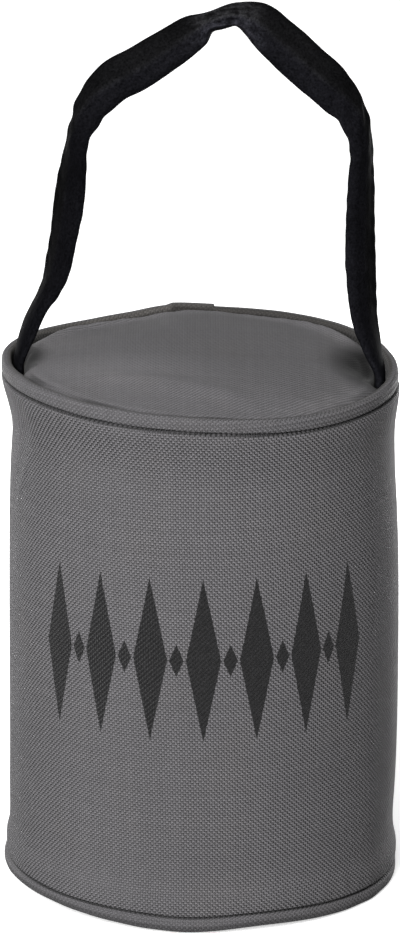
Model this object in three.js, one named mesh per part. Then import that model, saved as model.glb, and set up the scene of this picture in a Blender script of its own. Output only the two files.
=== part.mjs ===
// A weighted fabric doorstop: a soft drum of grey plain-weave cloth, packed full, with a black strap.
//
// Millimetres, +Z up. The origin is on the floor under the middle of the drum and the front faces -Y.
// Angles round the drum run anticlockwise from +X: the front is at 270 degrees, the back seam at 90.

import * as THREE from 'three';

// ---------------------------------------------------------------- driving dimensions

const RIM_RADIUS = 68.6;          // middle of the standing flange round the top
const FOOT_RADIUS = 68.7;         // middle of the flange round the foot
const FLANGE_WIDTH = 3.8;         // four plies of cloth, turned in and pressed
const FLANGE_HEIGHT = 4.9;        // from the topstitching to the free edge
const CLOTH = 2.0;                // the round panels, as cloth with the filling it presses on
const GAP = 0.3;                  // between neighbouring pieces

const RIM_LEVEL = 190.9;          // height of the rim's mean plane over the axis
const RIM_FALL = 0.034;           // how far that plane falls for each millimetre to the right

const GROOVE_DEPTH = 6.2;         // from the rim's free edge down to where the top panel is sewn in
const CROWN = 4.6;                // rise of the top panel from its shoulder to its middle
const SHOULDER_RADIUS = 59;       // where the top panel turns down into the groove
const SHOULDER_DROP = 0.6;        // of that shoulder below the rim's free edge
const CROWN_RINGS = [16, 33, 48]; // radii at which the crown is drawn ...
const PILLOW_RINGS = [0, 0.45, 0.8, 1];   // ... and shares of the way from its shoulder to its seam

const REST_RADIUS = 58;           // the flat on which the doorstop stands
const BASE_LIFT = 1.4;            // rise of the base panel from the flat to its seam
const BASE_RINGS = [30, REST_RADIUS, 62.5];   // radii at which the base is drawn, up to its seam

const LAP_FROM = 85.7;            // the back seam: the outer cloth's turned edge ...
const LAP_TO = 99.3;              // ... and the inner cloth's edge, in degrees
const LAP_EDGE = 0.5;             // how sharply a cut edge ends, in degrees ...
const LAP_FADE = 1.5;             // ... and how softly the ply that covers one follows it
const LAP_THICK = 0.7;

const STRAP_WIDTH = 17.5;
const STRAP_THICK = 3.0;
const STRAP_PLACES = [0, 180];    // where its two ends go into the groove, in degrees
const POCKET_DEPTH = 4.3;         // how far its pocket runs in under the top panel's edge ...
const POCKET_DIP = 1.2;           // ... and how far it draws that panel's shoulder in
const POCKET_FLAT = 9.5;          // each pocket is full depth this far to either side ...
const POCKET_END = 17;            // ... and gone here, in degrees

const SWELL_WIDE = 0.5;           // heights of the filling's two soft waves round the wall
const SWELL_SMALL = 0.35;

const SEGMENTS = 54;              // round the drum
const STRAP_STEPS = 52;           // along the strap
const STRAP_SIDES = 12;           // round the strap's section

// Height of the rim's free edge above the floor, round the drum.
const RIM_EDGE = [
  { at: 0, high: 188.7 },
  { at: 30, high: 190.2 },
  { at: 60, high: 190.7 },
  { at: 82, high: 190.7 },
  { at: 100, high: 191.5 },
  { at: 112, high: 190.0 },
  { at: 130, high: 189.7 },
  { at: 155, high: 191.8 },
  { at: 180, high: 193.2 },
  { at: 215, high: 193.4 },
  { at: 240, high: 192.3 },
  { at: 270, high: 190.7 },
  { at: 300, high: 188.4 },
  { at: 330, high: 188.2 },
];

// Heights of the foot flange's free edge and of its topstitching, round the drum.
const FOOT_EDGE = [
  { at: 0, edge: 0.9, seam: 4.8 },
  { at: 90, edge: 1.6, seam: 6.2 },
  { at: 150, edge: 3.2, seam: 7.2 },
  { at: 195, edge: 4.6, seam: 8.0 },
  { at: 222, edge: 4.0, seam: 7.4 },
  { at: 247, edge: 2.1, seam: 6.6 },
  { at: 266, edge: 0.9, seam: 5.7 },
  { at: 288, edge: 2.2, seam: 6.5 },
  { at: 315, edge: 0.9, seam: 5.4 },
  { at: 340, edge: 0.3, seam: 4.6 },
];

// The wall from the foot's stitching (share 0) to the rim's (share 1), and how far each level stands
// to the right.
const WALL = [
  { share: 0, radius: 68.4, right: 0.3 },
  { share: 0.016, radius: 70.2, right: 0.5 },
  { share: 0.04, radius: 70.2, right: 0.5 },
  { share: 0.066, radius: 69.3, right: 0.6 },
  { share: 0.1, radius: 69.2, right: 0.7 },
  { share: 0.15, radius: 69.4, right: 0.9 },
  { share: 0.24, radius: 69.5, right: 1.1 },
  { share: 0.42, radius: 69.6, right: 1.2 },
  { share: 0.62, radius: 69.5, right: 1.2 },
  { share: 0.73, radius: 69.1, right: 1.0 },
  { share: 0.83, radius: 68.4, right: 0.8 },
  { share: 0.89, radius: 68.0, right: 1.0 },
  { share: 0.92, radius: 68.4, right: 0.9 },
  { share: 0.95, radius: 69.4, right: 0.7 },
  { share: 0.975, radius: 70.3, right: 0.4 },
  { share: 0.99, radius: 70.4, right: 0.2 },
  { share: 1, radius: 69.1, right: 0.1 },
];

// A flange's section, from its stitching over the free edge: out from its middle as a share of half
// its width, and back from the free edge as a share of its height.
const FLANGE_SECTION = [
  { out: 0.9, back: 0.72 },
  { out: 1, back: 0.4 },
  { out: 0.7, back: 0.1 },
  { out: 0, back: 0 },
  { out: -0.7, back: 0.1 },
  { out: -1, back: 0.42 },
];

// The strap from its left end to its right: where its middle line runs, seen from the front, its width
// and thickness as shares of the flat strap's, how far it is turned from facing the front, and the height
// of its middle crease.
const STRAP = [
  { across: -63.8, up: 187.6, wide: 0.97, thick: 1.15, turn: 88, crease: 0.5 },
  { across: -63.7, up: 192.5, wide: 0.97, thick: 1.15, turn: 87, crease: 0.5 },
  { across: -60.3, up: 202.6, wide: 0.98, thick: 1.2, turn: 81, crease: 0.8 },
  { across: -56, up: 212.0, wide: 0.98, thick: 1.2, turn: 83, crease: 1.0 },
  { across: -52.4, up: 218.8, wide: 0.96, thick: 1.2, turn: 77, crease: 1.2 },
  { across: -49.7, up: 227.0, wide: 0.98, thick: 1.1, turn: 66, crease: 1.4 },
  { across: -46.3, up: 248.6, wide: 1, thick: 1.1, turn: 59, crease: 1.6 },
  { across: -43.8, up: 264.3, wide: 0.97, thick: 1.1, turn: 65, crease: 1.8 },
  { across: -42.4, up: 273.6, wide: 0.9, thick: 1.2, turn: 69, crease: 2.2 },
  { across: -37.6, up: 285.0, wide: 0.84, thick: 1.2, turn: 50, crease: 2.8 },
  { across: -30.4, up: 292.9, wide: 0.88, thick: 1.0, turn: 24, crease: 3.0 },
  { across: -20.5, up: 298.8, wide: 0.88, thick: 1.0, turn: 20, crease: 3.0 },
  { across: -8.6, up: 306.6, wide: 0.81, thick: 1.1, turn: 22, crease: 2.8 },
  { across: -1.2, up: 311.5, wide: 0.72, thick: 1.4, turn: 24, crease: 2.2 },
  { across: 4.8, up: 315.2, wide: 0.42, thick: 2, turn: 20, crease: 1.2 },
  { across: 12.2, up: 317.6, wide: 0.45, thick: 2.1, turn: 12, crease: 0.8 },
  { across: 19.8, up: 315.3, wide: 0.78, thick: 1.5, turn: 18, crease: 1.8 },
  { across: 27.6, up: 308.2, wide: 0.9, thick: 1.0, turn: 22, crease: 2.8 },
  { across: 38.4, up: 298.1, wide: 0.94, thick: 1.0, turn: 22, crease: 3.0 },
  { across: 46.6, up: 290.4, wide: 0.92, thick: 1.1, turn: 34, crease: 2.8 },
  { across: 52.9, up: 282.4, wide: 0.91, thick: 1.2, turn: 57, crease: 2.4 },
  { across: 56.1, up: 272.0, wide: 0.92, thick: 1.2, turn: 68, crease: 2.0 },
  { across: 56.5, up: 256.0, wide: 0.96, thick: 1.1, turn: 61, crease: 1.8 },
  { across: 56.4, up: 234.6, wide: 1, thick: 1.1, turn: 57, crease: 1.6 },
  { across: 57.1, up: 219.0, wide: 1, thick: 1.1, turn: 58, crease: 1.4 },
  { across: 58.6, up: 205.0, wide: 1, thick: 1.1, turn: 67, crease: 1.0 },
  { across: 61.2, up: 195.4, wide: 0.98, thick: 1.15, turn: 77, crease: 0.6 },
  { across: 63.5, up: 187.4, wide: 0.97, thick: 1.15, turn: 87, crease: 0.5 },
  { across: 63.7, up: 183.1, wide: 0.97, thick: 1.15, turn: 87, crease: 0.5 },
];

// ---------------------------------------------------------------- small helpers

const { clamp, lerp, smoothstep, degToRad } = THREE.MathUtils;

// A smooth curve through one column of a table whose key runs round the circle.
function round(table, column) {
  const count = table.length;
  const row = (i) => {
    const turns = Math.floor(i / count);
    const { at, [column]: value } = table[i - turns * count];
    return { at: at + 360 * turns, value };
  };
  return (angle) => {
    let i = -1;
    while (row(i + 1).at <= angle) i += 1;
    return cubic([-1, 0, 1, 2].map((step) => row(i + step)), angle);
  };
}

// A smooth curve through one column of a table that runs from its first row to its last.
function along(table, key, column) {
  const last = table.length - 1;
  const row = (i) => {
    const { [key]: at, [column]: value } = table[clamp(i, 0, last)];
    return { at: at + (i - clamp(i, 0, last)), value };
  };
  return (place) => {
    let i = 0;
    while (i < last - 1 && row(i + 1).at <= place) i += 1;
    return cubic([-1, 0, 1, 2].map((step) => row(i + step)), place);
  };
}

// The Hermite curve between the middle two of four rows.
function cubic([before, low, high, after], at) {
  const span = high.at - low.at;
  const t = (at - low.at) / span;
  const start = ((high.value - before.value) / (high.at - before.at)) * span;
  const end = ((after.value - low.value) / (after.at - low.at)) * span;
  return (2 * t ** 3 - 3 * t ** 2 + 1) * low.value + (t ** 3 - 2 * t ** 2 + t) * start
    + (3 * t ** 2 - 2 * t ** 3) * high.value + (t ** 3 - t ** 2) * end;
}

// The shorter way round from one angle to another, in degrees.
function apart(a, b) {
  const turn = Math.abs(a - b) % 360;
  return Math.min(turn, 360 - turn);
}

// One closed mesh over a stack of rings. Each ring runs anticlockwise about the way that the stack goes,
// and each face between two rings is cut along its shorter diagonal, so that neighbours are cut alike.
function skin(name, rings, material) {
  const sides = rings[0].length;
  const middle = (ring) => ring.reduce((sum, p) => sum.add(p), new THREE.Vector3()).divideScalar(sides);
  const points = [...rings.flat(), middle(rings[0]), middle(rings.at(-1))];
  const [first, last] = [points.length - 2, points.length - 1];
  const top = (rings.length - 1) * sides;
  const faces = [];
  for (let j = 0; j < sides; j += 1) {
    const next = (j + 1) % sides;
    faces.push(first, next, j, last, top + j, top + next);
    for (let base = 0; base < top; base += sides) {
      const [a, b, c, d] = [base + j, base + next, base + sides + next, base + sides + j];
      const short = points[a].distanceTo(points[c]) < points[b].distanceTo(points[d]);
      faces.push(...(short ? [a, b, c, a, c, d] : [a, b, d, b, c, d]));
    }
  }
  const geometry = new THREE.BufferGeometry().setFromPoints(points);
  geometry.setIndex(faces);
  geometry.computeVertexNormals();
  const mesh = new THREE.Mesh(geometry, material);
  mesh.name = name;
  return mesh;
}

// A section, a row of [radius, height] pairs, moved the given distance to the right of its run.
function inset(section, distance) {
  return section.map(([radius, height], i) => {
    const [r0, h0] = section[Math.max(i - 1, 0)];
    const [r1, h1] = section[Math.min(i + 1, section.length - 1)];
    const run = Math.hypot(r1 - r0, h1 - h0);
    return [radius + (distance * (h1 - h0)) / run, height - (distance * (r1 - r0)) / run];
  });
}

// ---------------------------------------------------------------- how the drum changes round its circle

const rimEdge = round(RIM_EDGE, 'high');
const footEdge = round(FOOT_EDGE, 'edge');
const footSeam = round(FOOT_EDGE, 'seam');
const wallRadius = along(WALL, 'share', 'radius');
const wallRight = along(WALL, 'share', 'right');

// The lapped back seam: its turned edge is sharp outside at LAP_FROM and inside at LAP_TO.
const lapOutside = (angle) => smoothstep(angle, LAP_FROM, LAP_FROM + LAP_EDGE)
  * (1 - smoothstep(angle, LAP_TO - LAP_FADE, LAP_TO + LAP_FADE));
const lapInside = (angle) => smoothstep(angle, LAP_FROM - LAP_FADE, LAP_FROM + LAP_FADE)
  * (1 - smoothstep(angle, LAP_TO - LAP_EDGE, LAP_TO));

// How much of its pocket the strap has at this angle, from 0 to 1.
const pocket = (angle) => Math.max(
  ...STRAP_PLACES.map((place) => 1 - smoothstep(apart(angle, place), POCKET_FLAT, POCKET_END)),
);

// Soft hollows and swells in the wall, left by the filling. They die out at the seams and at the two sides.
function unevenness(angle, share) {
  const [a, level] = [degToRad(angle), Math.PI * share];
  const wide = SWELL_WIDE * Math.cos(3 * a + 0.6 + level);
  const small = SWELL_SMALL * Math.cos(5 * a - 1.1 - 2 * level);
  return (wide + small) * Math.sin(level) * Math.sin(a) ** 2;
}

// The angles at which the drum is cut: evenly round, and also where something starts or ends.
function cuts() {
  const sharp = [LAP_FROM, LAP_FROM + LAP_EDGE, LAP_TO - LAP_EDGE, LAP_TO];
  for (const place of STRAP_PLACES) {
    for (const from of [POCKET_FLAT, POCKET_END]) sharp.push(place + from, (place - from + 360) % 360);
  }
  const step = 360 / SEGMENTS;
  const even = Array.from({ length: SEGMENTS }, (_, i) => i * step)
    .filter((angle) => sharp.every((other) => apart(angle, other) > step / 4));
  return [...even, ...sharp].sort((a, b) => a - b);
}

// The rings of a body that is given as a section [radius, height, right] at each angle.
function ringsOf(sectionAt) {
  const angles = cuts();
  const sections = angles.map(sectionAt);
  return sections[0].map((_, level) => angles.map((angle, j) => {
    const [radius, height, right = 0] = sections[j][level];
    const a = degToRad(angle);
    return new THREE.Vector3(right + radius * Math.cos(a), radius * Math.sin(a), height);
  }));
}

// ---------------------------------------------------------------- sections at one angle

// The top panel's upper side, from near the axis out to its seam.
function panelTop(angle) {
  const a = degToRad(angle);
  const seamRadius = RIM_RADIUS - FLANGE_WIDTH / 2 - GAP - lapInside(angle) * LAP_THICK
    - pocket(angle) * POCKET_DEPTH;
  const seamHeight = rimEdge(angle) - GROOVE_DEPTH + GAP;
  const plane = (radius) => RIM_LEVEL - RIM_FALL * radius * Math.cos(a);
  const local = rimEdge(angle) - plane(RIM_RADIUS);
  const inner = CROWN_RINGS.map((radius) => {
    const share = radius / SHOULDER_RADIUS;
    return [radius, plane(radius) - SHOULDER_DROP + local * share ** 2 + CROWN * (1 - share ** 3)];
  });
  const shoulder = rimEdge(angle) - SHOULDER_DROP;
  const shoulderRadius = SHOULDER_RADIUS - pocket(angle) * POCKET_DIP;
  const outer = PILLOW_RINGS.map((share) => [
    lerp(shoulderRadius, seamRadius, Math.sin((share * Math.PI) / 2)),
    lerp(seamHeight, shoulder, Math.cos((share * Math.PI) / 2)),
  ]);
  return [...inner, ...outer];
}

function topPanelSection(angle) {
  const upper = panelTop(angle);
  const under = inset(upper, CLOTH);
  under.at(-1)[1] = upper.at(-1)[1];
  return [...under, ...upper.reverse()];
}

// The base panel's underside, flat where it stands and rising to its seam.
function baseUnderside(angle) {
  const seamRadius = FOOT_RADIUS - FLANGE_WIDTH / 2 - GAP;
  const rise = footEdge(angle) + BASE_LIFT;
  return [...BASE_RINGS, seamRadius].map((radius) => [
    radius,
    rise * smoothstep(radius, REST_RADIUS, seamRadius),
  ]);
}

function basePanelSection(angle) {
  const under = baseUnderside(angle);
  return [...under, ...inset(under, -CLOTH).reverse()];
}

// A flange's section from its stitching on the outside, over its free edge, to the inside.
function flange(middle, edge, seam, inside, outside) {
  return FLANGE_SECTION.map(({ out, back }) => [
    middle + (out * FLANGE_WIDTH) / 2 + (out > 0 ? outside : -inside),
    lerp(edge, seam, back),
  ]);
}

// The drum: its underside, foot flange, wall and rim flange, and the hollow that the top panel lies in.
function drumSection(angle) {
  const [outside, inside] = [lapOutside(angle) * LAP_THICK, lapInside(angle) * LAP_THICK];
  const foot = flange(FOOT_RADIUS, footEdge(angle), footSeam(angle), 0, outside).reverse();
  const edge = rimEdge(angle) + outside;
  const [low, high] = [footSeam(angle), rimEdge(angle) - FLANGE_HEIGHT];
  const rim = flange(RIM_RADIUS, edge, high, inside, outside);
  const wall = WALL.map(({ share }) => [
    wallRadius(share) + unevenness(angle, share) + outside,
    lerp(low, high, share),
    wallRight(share),
  ]);
  const under = inset(baseUnderside(angle), -CLOTH - GAP);
  const corner = [FOOT_RADIUS - FLANGE_WIDTH / 2, under.at(-1)[1]];
  const floor = rimEdge(angle) - GROOVE_DEPTH;
  const groove = [RIM_RADIUS - FLANGE_WIDTH / 2 - inside, floor];
  const hollow = inset(panelTop(angle), CLOTH + GAP).reverse();
  hollow[0][1] = floor;
  return [...under, corner, ...foot, ...wall, ...rim, groove, ...hollow];
}

// ---------------------------------------------------------------- the strap

// A flattened tube, swept from end to end: wide across, thin through, and raised along its middle.
function strapRings() {
  const line = new THREE.CatmullRomCurve3(STRAP.map(({ across, up }) => new THREE.Vector3(across, 0, up)));
  const rows = STRAP.map((row, i) => ({ ...row, i }));
  const [wide, thick, turn, crease] = ['wide', 'thick', 'turn', 'crease']
    .map((column) => along(rows, 'i', column));
  const back = new THREE.Vector3(0, 1, 0);
  return Array.from({ length: STRAP_STEPS + 1 }, (_, step) => {
    const t = line.getUtoTmapping(step / STRAP_STEPS);
    const place = t * (STRAP.length - 1);
    const centre = line.getPoint(t);
    const tangent = line.getTangent(t);
    const outward = new THREE.Vector3().crossVectors(tangent, back).normalize();
    const turned = degToRad(turn(place));
    const face = outward.multiplyScalar(Math.sin(turned))
      .addScaledVector(back, -Math.cos(turned))
      .normalize();
    const across = new THREE.Vector3().crossVectors(face, tangent).normalize();
    return Array.from({ length: STRAP_SIDES }, (__, side) => {
      const angle = (2 * Math.PI * side) / STRAP_SIDES;
      const rounded = (value) => Math.sign(value) * Math.sqrt(Math.abs(value));
      const [u, v] = [rounded(Math.cos(angle)), rounded(Math.sin(angle))];
      const lift = (v * STRAP_THICK * thick(place)) / 2 + crease(place) * (1 - Math.abs(u));
      return centre.clone()
        .addScaledVector(across, (u * STRAP_WIDTH * wide(place)) / 2)
        .addScaledVector(face, lift);
    });
  });
}

// ---------------------------------------------------------------- the doorstop

const greyCloth = () => new THREE.MeshStandardMaterial({ color: 0x6b696c, roughness: 0.9, metalness: 0 });
const blackCloth = () => new THREE.MeshStandardMaterial({ color: 0x161618, roughness: 0.85, metalness: 0 });

const doorstop = new THREE.Group();
doorstop.add(
  skin('side_panel', ringsOf(drumSection), greyCloth()),
  skin('top_panel', ringsOf(topPanelSection), greyCloth()),
  skin('base_panel', ringsOf(basePanelSection), greyCloth()),
  skin('handle', strapRings(), blackCloth()),
);

export default doorstop;
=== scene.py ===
"""The fabric doorstop: a packed drum of grey plain-weave cloth with a soft black carrying strap.

Tables and small helpers are in millimetres, like part.mjs, and every mesh is made in metres in the frame of
the CAD model: +Z up, the front towards -Y, angles anticlockwise from +X.
"""

import math

import bpy
import numpy as np
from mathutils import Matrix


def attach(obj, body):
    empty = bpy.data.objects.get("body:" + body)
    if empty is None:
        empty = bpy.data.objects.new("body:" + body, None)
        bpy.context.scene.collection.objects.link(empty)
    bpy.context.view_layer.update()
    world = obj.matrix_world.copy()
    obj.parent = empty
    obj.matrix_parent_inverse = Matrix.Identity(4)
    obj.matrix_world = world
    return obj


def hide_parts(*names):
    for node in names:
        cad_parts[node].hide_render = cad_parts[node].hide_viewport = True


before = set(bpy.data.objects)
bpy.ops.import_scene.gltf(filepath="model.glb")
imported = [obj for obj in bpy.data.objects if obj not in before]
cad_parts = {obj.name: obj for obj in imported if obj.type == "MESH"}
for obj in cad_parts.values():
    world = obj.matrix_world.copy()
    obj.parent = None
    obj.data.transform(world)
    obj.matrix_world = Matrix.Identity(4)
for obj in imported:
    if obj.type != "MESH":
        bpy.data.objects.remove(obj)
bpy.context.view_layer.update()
MM = 0.001
scene = bpy.context.scene

# ---- sizes shared with the CAD model

RIM_RADIUS = 68.6
FOOT_RADIUS = 68.7
FLANGE_WIDTH = 3.8
FLANGE_HEIGHT = 4.9
CLOTH = 2.0
GAP = 0.3
RIM_LEVEL = 190.9
RIM_FALL = 0.034
GROOVE_DEPTH = 6.2
CROWN = 4.6
SHOULDER_RADIUS = 59
SHOULDER_DROP = 0.6
REST_RADIUS = 58
BASE_LIFT = 1.4
LAP_FROM = 85.7
LAP_TO = 99.3
LAP_THICK = 0.7
LAP_FADE = 1.5
STRAP_WIDTH = 17.5
STRAP_THICK = 3.0
POCKET_DEPTH = 4.3
POCKET_DIP = 1.2
POCKET_FLAT = 9.5
POCKET_END = 17

RIM_EDGE = [  # at, high
    (0, 188.7), (30, 190.2), (60, 190.7), (82, 190.7), (100, 191.5), (112, 190), (130, 189.7),
    (155, 191.8), (180, 193.2), (215, 193.4), (240, 192.3), (270, 190.7), (300, 188.4), (330, 188.2),
]
FOOT_EDGE = [  # at, edge, seam
    (0, 0.9, 4.8), (90, 1.6, 6.2), (150, 3.2, 7.2), (195, 4.6, 8.0), (222, 4.0, 7.4), (247, 2.1, 6.6),
    (266, 0.9, 5.7), (288, 2.2, 6.5), (315, 0.9, 5.4), (340, 0.3, 4.6),
]
WALL = [  # share of the way from the foot's stitching to the rim's, radius, right
    (0, 69.9, 0.3), (0.016, 70.2, 0.5), (0.04, 70.2, 0.5), (0.066, 69.3, 0.6), (0.1, 69.2, 0.7),
    (0.15, 69.4, 0.9), (0.24, 69.5, 1.1), (0.42, 69.6, 1.2), (0.62, 69.5, 1.2), (0.73, 69.1, 1),
    (0.83, 68.4, 0.8), (0.89, 68, 1), (0.92, 68.4, 0.9), (0.95, 69.4, 0.7), (0.975, 70.3, 0.4),
    (0.99, 70.5, 0.2), (1, 70.3, 0.1),
]
STRAP = [  # across, up, wide, thick, turn, crease
    (-63.8, 187.6, 0.97, 1.15, 88, 0.5), (-63.7, 192.5, 0.97, 1.15, 87, 0.5),
    (-60.3, 202.6, 0.98, 1.2, 81, 0.8), (-56, 212, 0.98, 1.2, 83, 1), (-52.4, 218.8, 0.96, 1.2, 77, 1.2),
    (-49.7, 227, 0.98, 1.1, 66, 1.4), (-46.3, 248.6, 1, 1.1, 59, 1.6), (-43.8, 264.3, 0.97, 1.1, 65, 1.8),
    (-42.4, 273.6, 0.9, 1.2, 69, 2.2), (-37.6, 285, 0.84, 1.2, 50, 2.8), (-30.4, 292.9, 0.88, 1, 24, 3),
    (-20.5, 298.8, 0.88, 1, 20, 3), (-8.6, 306.6, 0.81, 1.1, 22, 2.8), (-1.2, 311.5, 0.72, 1.4, 24, 2.2),
    (4.8, 315.2, 0.42, 2, 20, 1.2), (12.2, 317.6, 0.45, 2.1, 12, 0.8), (19.8, 315.3, 0.78, 1.5, 18, 1.8),
    (27.6, 308.2, 0.9, 1, 22, 2.8), (38.4, 298.1, 0.94, 1, 22, 3), (46.6, 290.4, 0.92, 1.1, 34, 2.8),
    (52.9, 282.4, 0.91, 1.2, 57, 2.4), (56.1, 272, 0.92, 1.2, 68, 2), (56.5, 256, 0.96, 1.1, 61, 1.8),
    (56.4, 234.6, 1, 1.1, 57, 1.6), (57.1, 219, 1, 1.1, 58, 1.4), (58.6, 205, 1, 1.1, 67, 1),
    (61.2, 195.4, 0.98, 1.15, 77, 0.6), (63.5, 187.4, 0.97, 1.15, 87, 0.5), (63.7, 183.1, 0.97, 1.15, 87, 0.5),
]

# ---- helpers


def smoothstep(x, low, high):
    t = np.clip((x - low) / (high - low), 0, 1)
    return t * t * (3 - 2 * t)


def cubic(keys, values, at):
    """The smooth curve through a column of a table, at places between its second key and its last but one."""
    keys, values = np.asarray(keys, float), np.asarray(values, float)
    i = np.clip(np.searchsorted(keys, at, side="right") - 1, 1, len(keys) - 3)
    (k0, k1, k2, k3), (v0, v1, v2, v3) = [[c[i + s] for s in (-1, 0, 1, 2)] for c in (keys, values)]
    span = k2 - k1
    t = (at - k1) / span
    start, end = (v2 - v0) / (k2 - k0) * span, (v3 - v1) / (k3 - k1) * span
    return ((2 * t**3 - 3 * t**2 + 1) * v1 + (t**3 - 2 * t**2 + t) * start
            + (3 * t**2 - 2 * t**3) * v2 + (t**3 - t**2) * end)


def around(table, column, angle):
    """A column of a table whose first column is angles round the circle."""
    rows = np.array(table, float)
    keys = np.concatenate([rows[:, 0] - 360, rows[:, 0], rows[:, 0] + 360])
    return cubic(keys, np.tile(rows[:, column], 3), np.asarray(angle, float) % 360)


def along(keys, values, at):
    """A column of a table that runs from its first row to its last."""
    keys, values = np.asarray(keys, float), np.asarray(values, float)
    keys = np.concatenate([[keys[0] - 1], keys, [keys[-1] + 1]])
    values = np.concatenate([[values[0]], values, [values[-1]]])
    return cubic(keys, values, at)


def apart(a, b):
    turn = np.abs(a - b) % 360
    return np.minimum(turn, 360 - turn)


def flat(r, a):
    return r * np.cos(np.radians(a)), r * np.sin(np.radians(a))


def bump(x, at, reach):
    return np.exp(-((x - at) / reach) ** 2)


def waves(x, seed, count, low, high):
    """An uneven wave of unit height: sines of seeded pitch (between low and high) and phase."""
    rng = np.random.default_rng(seed)
    total = np.zeros_like(np.asarray(x, float))
    for pitch, phase in zip(rng.uniform(low, high, count), rng.uniform(0, 2 * math.pi, count)):
        total += np.sin(2 * math.pi * x / pitch + phase)
    return total / math.sqrt(count)


def closed(rows, once_round=0):
    """Rows with their first column once more after the last."""
    return np.concatenate([rows, rows[:, :1] + once_round], 1)


def quads(rings, sides):
    """The faces between closed rings of points."""
    return [[i * sides + j, i * sides + k, (i + 1) * sides + k, (i + 1) * sides + j]
            for i in range(rings - 1) for j in range(sides) for k in [(j + 1) % sides]]


def make_object(name, vertices, faces, maps=None):
    """A mesh object from points in millimetres, with the place in each map of every corner of its faces."""
    mesh = bpy.data.meshes.new(name)
    mesh.from_pydata((np.asarray(vertices, float) * MM).tolist(), [], faces)
    for label, corners in (maps or {}).items():
        layer = mesh.uv_layers.new(name=label)
        layer.data.foreach_set("uv", np.asarray(corners, np.float32).ravel())
    mesh.polygons.foreach_set("use_smooth", [True] * len(mesh.polygons))
    mesh.validate()
    mesh.update()
    obj = bpy.data.objects.new(name, mesh)
    scene.collection.objects.link(obj)
    return obj


def lathe(name, rings, maps):
    """A closed mesh over a stack of rings, each anticlockwise about the way that the stack goes. Each map is
    given at every ring and column, with one more column that closes the circle."""
    levels, sides = rings.shape[:2]
    vertices = np.concatenate([rings.reshape(-1, 3), [rings[0].mean(0)], [rings[-1].mean(0)]])
    low, high, top = len(vertices) - 2, len(vertices) - 1, (levels - 1) * sides
    i, j = [x.ravel() for x in np.meshgrid(np.arange(levels - 1), np.arange(sides), indexing="ij")]
    caps = [[low, (b + 1) % sides, b] for b in range(sides)]
    caps += [[high, top + b, top + (b + 1) % sides] for b in range(sides)]
    corners = {}
    for label, m in maps.items():
        body = np.stack([m[i, j], m[i, j + 1], m[i + 1, j + 1], m[i + 1, j]], 1)
        first, last = [np.broadcast_to(m[end].mean(0), (sides, 2)) for end in (0, -1)]
        first = np.stack([first, m[0, 1:], m[0, :-1]], 1)
        last = np.stack([last, m[-1, :-1], m[-1, 1:]], 1)
        corners[label] = np.concatenate([part.reshape(-1, 2) for part in (body, first, last)])
    return make_object(name, vertices, quads(levels, sides) + caps, corners)


# ---- how the drum changes round its circle

PITCH_ROUND = 0.92  # thread spacing round the drum
PITCH_TOP = 0.915  # thread spacing up the drum, at the rim ...
PITCH_FOOT = 0.84  # ... and at the foot, where the load has pushed the rows together
LEAN = 0.023  # how far the upright threads run to the right for each millimetre down
FRONT = 270
CLOTH_RADIUS = 69.5  # at which the cloth's length round the drum is measured


def rim_edge(a):
    return around(RIM_EDGE, 1, a)


def foot_edge(a):
    return around(FOOT_EDGE, 1, a)


def foot_seam(a):
    return around(FOOT_EDGE, 2, a)


def lap_outside(a):
    return smoothstep(a, LAP_FROM, LAP_FROM + 0.2) * (1 - smoothstep(a, LAP_TO - LAP_FADE, LAP_TO + LAP_FADE))


def lap_inside(a):
    return smoothstep(a, LAP_FROM - LAP_FADE, LAP_FROM + LAP_FADE) * (1 - smoothstep(a, LAP_TO - 0.2, LAP_TO))


def pocket(a):
    return np.max([1 - smoothstep(apart(a, place), POCKET_FLAT, POCKET_END) for place in (0, 180)], axis=0)


def wall_radius(share):
    return along([row[0] for row in WALL], [row[1] for row in WALL], share)


def wall_right(share):
    return along([row[0] for row in WALL], [row[2] for row in WALL], share)


def unevenness(a, share):
    t, level = np.radians(a), math.pi * share
    return (0.5 * np.cos(3 * t + 0.6 + level) + 0.35 * np.cos(5 * t - 1.1 - 2 * level)) \
        * np.sin(level) * np.sin(t) ** 2


def inset(section, distance):
    """A section of [radius, height] rows, one column an angle, moved to the right of its run."""
    before = np.concatenate([section[:1], section[:-1]])
    after = np.concatenate([section[1:], section[-1:]])
    d = after - before
    run = np.hypot(d[..., 0], d[..., 1])
    return section + distance * np.stack([d[..., 1] / run, -d[..., 0] / run], -1)


def panel_height(r, a):
    """The top panel's upper side over its crown, out to its shoulder."""
    plane = RIM_LEVEL - RIM_FALL * r * np.cos(np.radians(a))
    local = rim_edge(a) - (RIM_LEVEL - RIM_FALL * RIM_RADIUS * np.cos(np.radians(a)))
    share = r / SHOULDER_RADIUS
    return plane - SHOULDER_DROP + local * share**2 + CROWN * (1 - share**3)


def panel_seam_radius(a):
    return RIM_RADIUS - FLANGE_WIDTH / 2 - GAP - lap_inside(a) * LAP_THICK - pocket(a) * POCKET_DEPTH


def panel_top(a, crown_rings, pillow_rings):
    """The top panel's upper side as [radius, height] rows, one column an angle."""
    seam_radius, seam_height = panel_seam_radius(a), rim_edge(a) - GROOVE_DEPTH + GAP
    shoulder_radius = SHOULDER_RADIUS - pocket(a) * POCKET_DIP
    rows = [np.stack([np.full_like(a, r), panel_height(r, a)], -1) for r in crown_rings]
    for share in pillow_rings:
        s, c = math.sin(share * math.pi / 2), math.cos(share * math.pi / 2)
        shoulder = rim_edge(a) - SHOULDER_DROP
        rows.append(np.stack([shoulder_radius + (seam_radius - shoulder_radius) * s,
                              seam_height + (shoulder - seam_height) * c], -1))
    return np.array(rows)


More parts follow.
